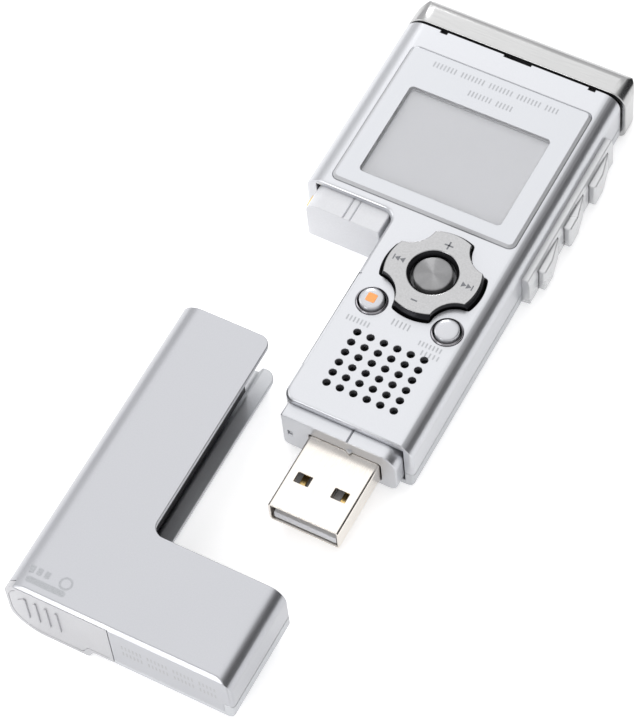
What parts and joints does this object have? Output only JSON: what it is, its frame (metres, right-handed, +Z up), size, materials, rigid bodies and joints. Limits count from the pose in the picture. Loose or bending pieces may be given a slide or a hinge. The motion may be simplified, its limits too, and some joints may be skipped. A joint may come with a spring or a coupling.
{
  "type": "handheld voice recorder",
  "caption": "Slim handheld voice recorder with a display head, round keypad, speaker grille and plug, and an L-shaped battery cap that draws off its end.",
  "frame": {"origin": "on the table, under the middle of the recorder and its cap as they lie", "axes": "+Y along the recorder from its plug towards the metal end band, +X to the right across it, +Z up out of its front face"},
  "size_m": [0.0462, 0.1248, 0.013],
  "materials": {
    "silver_shell": "satin silver paint over moulded plastic, fine metallic flake",
    "back_shell": "satin silver paint, slightly darker than the front",
    "side_trim": "satin silver paint on small mouldings",
    "door_plastic": "satin silver paint with moulded grip ribs",
    "end_metal": "fine brushed and clear lacquered",
    "black_rubber": "matt",
    "lens": "clear polished window with a bevelled edge and a printed border",
    "lcd_white": "white, smooth",
    "lcd_glass": "grey reflective display with a faint segment layer",
    "chrome_plate": "chrome plated plastic, mirror bright",
    "round_key": "silver paint, lightly domed",
    "white_plastic": "white, smooth",
    "steel_small": "nickel plated",
    "speaker_black": "black frame and cone",
    "board": "green solder mask",
    "plug_nickel": "nickel plated stamped sheet",
    "gold": "gold plated contacts",
    "black_plastic": "black, smooth",
    "cell_wrap": "printed shrink sleeve on a metal can"
  },
  "bodies": {
    "recorder": {"front_shell": "silver_shell", "neck_block": "silver_shell", "rear_shell": "back_shell", "side_strip": "side_trim", "end_band": "end_metal", "end_gasket": "black_rubber", "display_lens": "lens", "lcd_frame": "lcd_white", "lcd_panel": "lcd_glass", "erase_ring": "chrome_plate", "index_ring": "chrome_plate", "contact_block": "white_plastic", "usb_tongue": "white_plastic", "case_screw_1": "steel_small", "case_screw_2": "steel_small", "case_screw_3": "steel_small", "microphone_left": "steel_small", "microphone_right": "steel_small", "nav_switch_up": "steel_small", "nav_switch_right": "steel_small", "nav_switch_down": "steel_small", "nav_switch_left": "steel_small", "ok_switch": "steel_small", "erase_switch": "steel_small", "index_switch": "steel_small", "side_switch_1": "steel_small", "side_switch_2": "steel_small", "side_switch_3": "steel_small", "speaker": "speaker_black", "main_board": "board", "usb_shell": "plug_nickel", "usb_pin_1": "gold", "usb_pin_2": "gold", "usb_pin_3": "gold", "usb_pin_4": "gold", "terminal_positive": "gold", "terminal_negative": "gold", "ear_jack": "black_plastic", "mic_jack": "black_plastic"},
    "ok_key": {"ok_button": "chrome_plate"},
    "nav_tilt": {"nav_actuator": "white_plastic"},
    "nav_key": {"nav_pad": "chrome_plate"},
    "erase_key": {"erase_button": "round_key"},
    "index_key": {"index_button": "round_key"},
    "record_side_key": {"record_key": "side_trim"},
    "stop_side_key": {"stop_key": "side_trim"},
    "play_side_key": {"play_key": "side_trim"},
    "hold_switch": {"hold_slider": "black_plastic"},
    "cap": {"cap_front_shell": "silver_shell", "cap_rear_shell": "back_shell", "cell_holder": "black_plastic", "aaa_cell": "cell_wrap", "cell_spring": "steel_small"},
    "cell_door": {"battery_door": "door_plastic"}
  },
  "joints": [
    {"name": "cap_draw", "type": "slide", "parent": "recorder", "child": "cap", "axis": [0.1656, 0.984, -0.0663], "range_m": [0, 0.03017]},
    {"name": "door_slide", "type": "slide", "parent": "cap", "child": "cell_door", "axis": [-1, 0, 0], "range_m": [0, 0.008]},
    {"name": "nav_tilt_x", "type": "hinge", "parent": "recorder", "child": "nav_tilt", "pos_m": [0.0092, 0.0137, 0.00865], "axis": [1, 0, 0], "range_deg": [-2.5, 2.5], "stiffness_Nm_per_rad": 0.2},
    {"name": "nav_tilt_y", "type": "hinge", "parent": "nav_tilt", "child": "nav_key", "pos_m": [0.0092, 0.0137, 0.00865], "axis": [0, 1, 0], "range_deg": [-2.5, 2.5], "stiffness_Nm_per_rad": 0.2},
    {"name": "ok_press", "type": "slide", "parent": "recorder", "child": "ok_key", "axis": [0, 0, -1], "range_m": [0, 0.0004], "stiffness_N_per_m": 1500},
    {"name": "erase_press", "type": "slide", "parent": "recorder", "child": "erase_key", "axis": [0, 0, -1], "range_m": [0, 0.0004], "stiffness_N_per_m": 1500},
    {"name": "index_press", "type": "slide", "parent": "recorder", "child": "index_key", "axis": [0, 0, -1], "range_m": [0, 0.0004], "stiffness_N_per_m": 1500},
    {"name": "record_press", "type": "slide", "parent": "recorder", "child": "record_side_key", "axis": [-1, 0, 0], "range_m": [0, 0.0004], "stiffness_N_per_m": 1500},
    {"name": "stop_press", "type": "slide", "parent": "recorder", "child": "stop_side_key", "axis": [-1, 0, 0], "range_m": [0, 0.0004], "stiffness_N_per_m": 1500},
    {"name": "play_press", "type": "slide", "parent": "recorder", "child": "play_side_key", "axis": [-1, 0, 0], "range_m": [0, 0.0004], "stiffness_N_per_m": 1500},
    {"name": "hold_slide", "type": "slide", "parent": "recorder", "child": "hold_switch", "axis": [0, 1, 0], "range_m": [0, 0.0015]}
  ]
}
